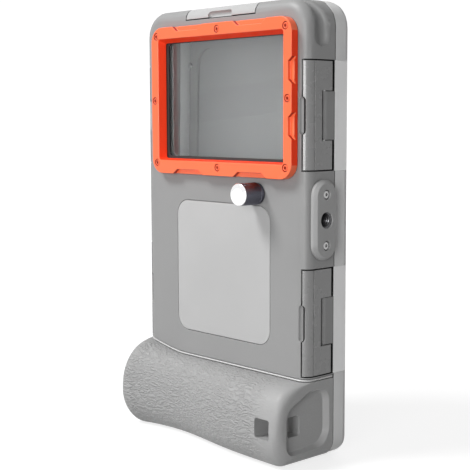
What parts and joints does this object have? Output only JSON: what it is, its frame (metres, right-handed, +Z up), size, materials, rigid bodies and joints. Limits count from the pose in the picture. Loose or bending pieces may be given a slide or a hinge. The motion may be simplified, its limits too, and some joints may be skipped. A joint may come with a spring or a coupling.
{
  "type": "diving housing for a phone",
  "caption": "grey moulded diving housing for a phone, with an orange framed camera window, a knurled knob, side and top latches and a rubber grip",
  "frame": {"origin": "middle of the footprint, at the bottom of the grip", "axes": "+Z up along the housing, camera window towards -Y, front door towards +Y, side mounting plate towards +X"},
  "size_m": [0.112, 0.0448, 0.2],
  "materials": {
    "housing_grey": "satin, moulded",
    "latch_grey": "semi gloss",
    "grip_rubber": "leather grain",
    "piping_grey": "smooth",
    "bezel_orange": "satin",
    "label_grey": "satin",
    "bright_steel": "polished",
    "plain_steel": "bright",
    "dark_brass": "blackened",
    "window_glass": "clear",
    "touch_film": "clear film",
    "black_seal": "matt",
    "cushion_silicone": "matt"
  },
  "bodies": {
    "housing": {"bezel_screw_1": "bezel_orange", "bezel_screw_2": "bezel_orange", "bezel_screw_3": "bezel_orange", "bezel_screw_4": "bezel_orange", "bezel_screw_5": "bezel_orange", "bezel_screw_6": "bezel_orange", "bezel_screw_7": "bezel_orange", "bezel_screw_8": "bezel_orange", "cushion_bottom": "cushion_silicone", "cushion_left": "cushion_silicone", "cushion_right": "cushion_silicone", "grip": "grip_rubber", "grip_piping": "piping_grey", "hinge_pin": "plain_steel", "label_panel": "label_grey", "main_gasket": "black_seal", "mount_insert": "dark_brass", "mount_plate": "latch_grey", "mount_screw_lower": "plain_steel", "mount_screw_upper": "plain_steel", "rear_housing": "housing_grey", "return_spring": "plain_steel", "shaft_gland": "dark_brass", "shaft_oring": "black_seal", "window_bezel": "bezel_orange", "window_gasket": "black_seal", "window_glass": "window_glass"},
    "door": {"front_door": "housing_grey", "touch_membrane": "touch_film", "membrane_frame": "latch_grey", "membrane_screw_1": "plain_steel", "membrane_screw_2": "plain_steel", "membrane_screw_3": "plain_steel", "membrane_screw_4": "plain_steel", "membrane_screw_5": "plain_steel", "membrane_screw_6": "plain_steel", "latch_right_upper_pin": "plain_steel", "latch_right_lower_pin": "plain_steel", "latch_left_upper_pin": "plain_steel", "latch_left_lower_pin": "plain_steel", "latch_top_pin": "plain_steel"},
    "knob_set": {"knob": "bright_steel", "knob_shaft": "plain_steel", "shaft_circlip": "plain_steel", "key_lever": "plain_steel"},
    "latch_right_upper_body": {"latch_right_upper": "latch_grey"},
    "latch_right_lower_body": {"latch_right_lower": "latch_grey"},
    "latch_left_upper_body": {"latch_left_upper": "latch_grey"},
    "latch_left_lower_body": {"latch_left_lower": "latch_grey"},
    "latch_top_body": {"latch_top": "latch_grey"}
  },
  "joints": [
    {"name": "door_hinge", "type": "hinge", "parent": "housing", "child": "door", "pos_m": [-0.0015, 0.01255, 0.0021], "axis": [-1, 0, 0], "range_deg": [0, 100]},
    {"name": "knob_turn", "type": "hinge", "parent": "housing", "child": "knob_set", "pos_m": [0.0235, -0.005, 0.1165], "axis": [0, 1, 0], "range_deg": [0, 30], "stiffness_Nm_per_rad": 0.15},
    {"name": "latch_right_upper_turn", "type": "hinge", "parent": "door", "child": "latch_right_upper_body", "pos_m": [0.0506, 0.0079, 0.15051], "axis": [0, 0, 1], "range_deg": [0, 110]},
    {"name": "latch_right_lower_turn", "type": "hinge", "parent": "door", "child": "latch_right_lower_body", "pos_m": [0.0506, 0.0079, 0.06169], "axis": [0, 0, 1], "range_deg": [0, 110]},
    {"name": "latch_left_upper_turn", "type": "hinge", "parent": "door", "child": "latch_left_upper_body", "pos_m": [-0.0536, 0.0079, 0.15121], "axis": [0, 0, -1], "range_deg": [0, 110]},
    {"name": "latch_left_lower_turn", "type": "hinge", "parent": "door", "child": "latch_left_lower_body", "pos_m": [-0.0536, 0.0079, 0.06569], "axis": [0, 0, -1], "range_deg": [0, 110]},
    {"name": "latch_top_turn", "type": "hinge", "parent": "door", "child": "latch_top_body", "pos_m": [-0.0015, 0.0079, 0.1976], "axis": [-1, 0, 0], "range_deg": [0, 110]}
  ]
}
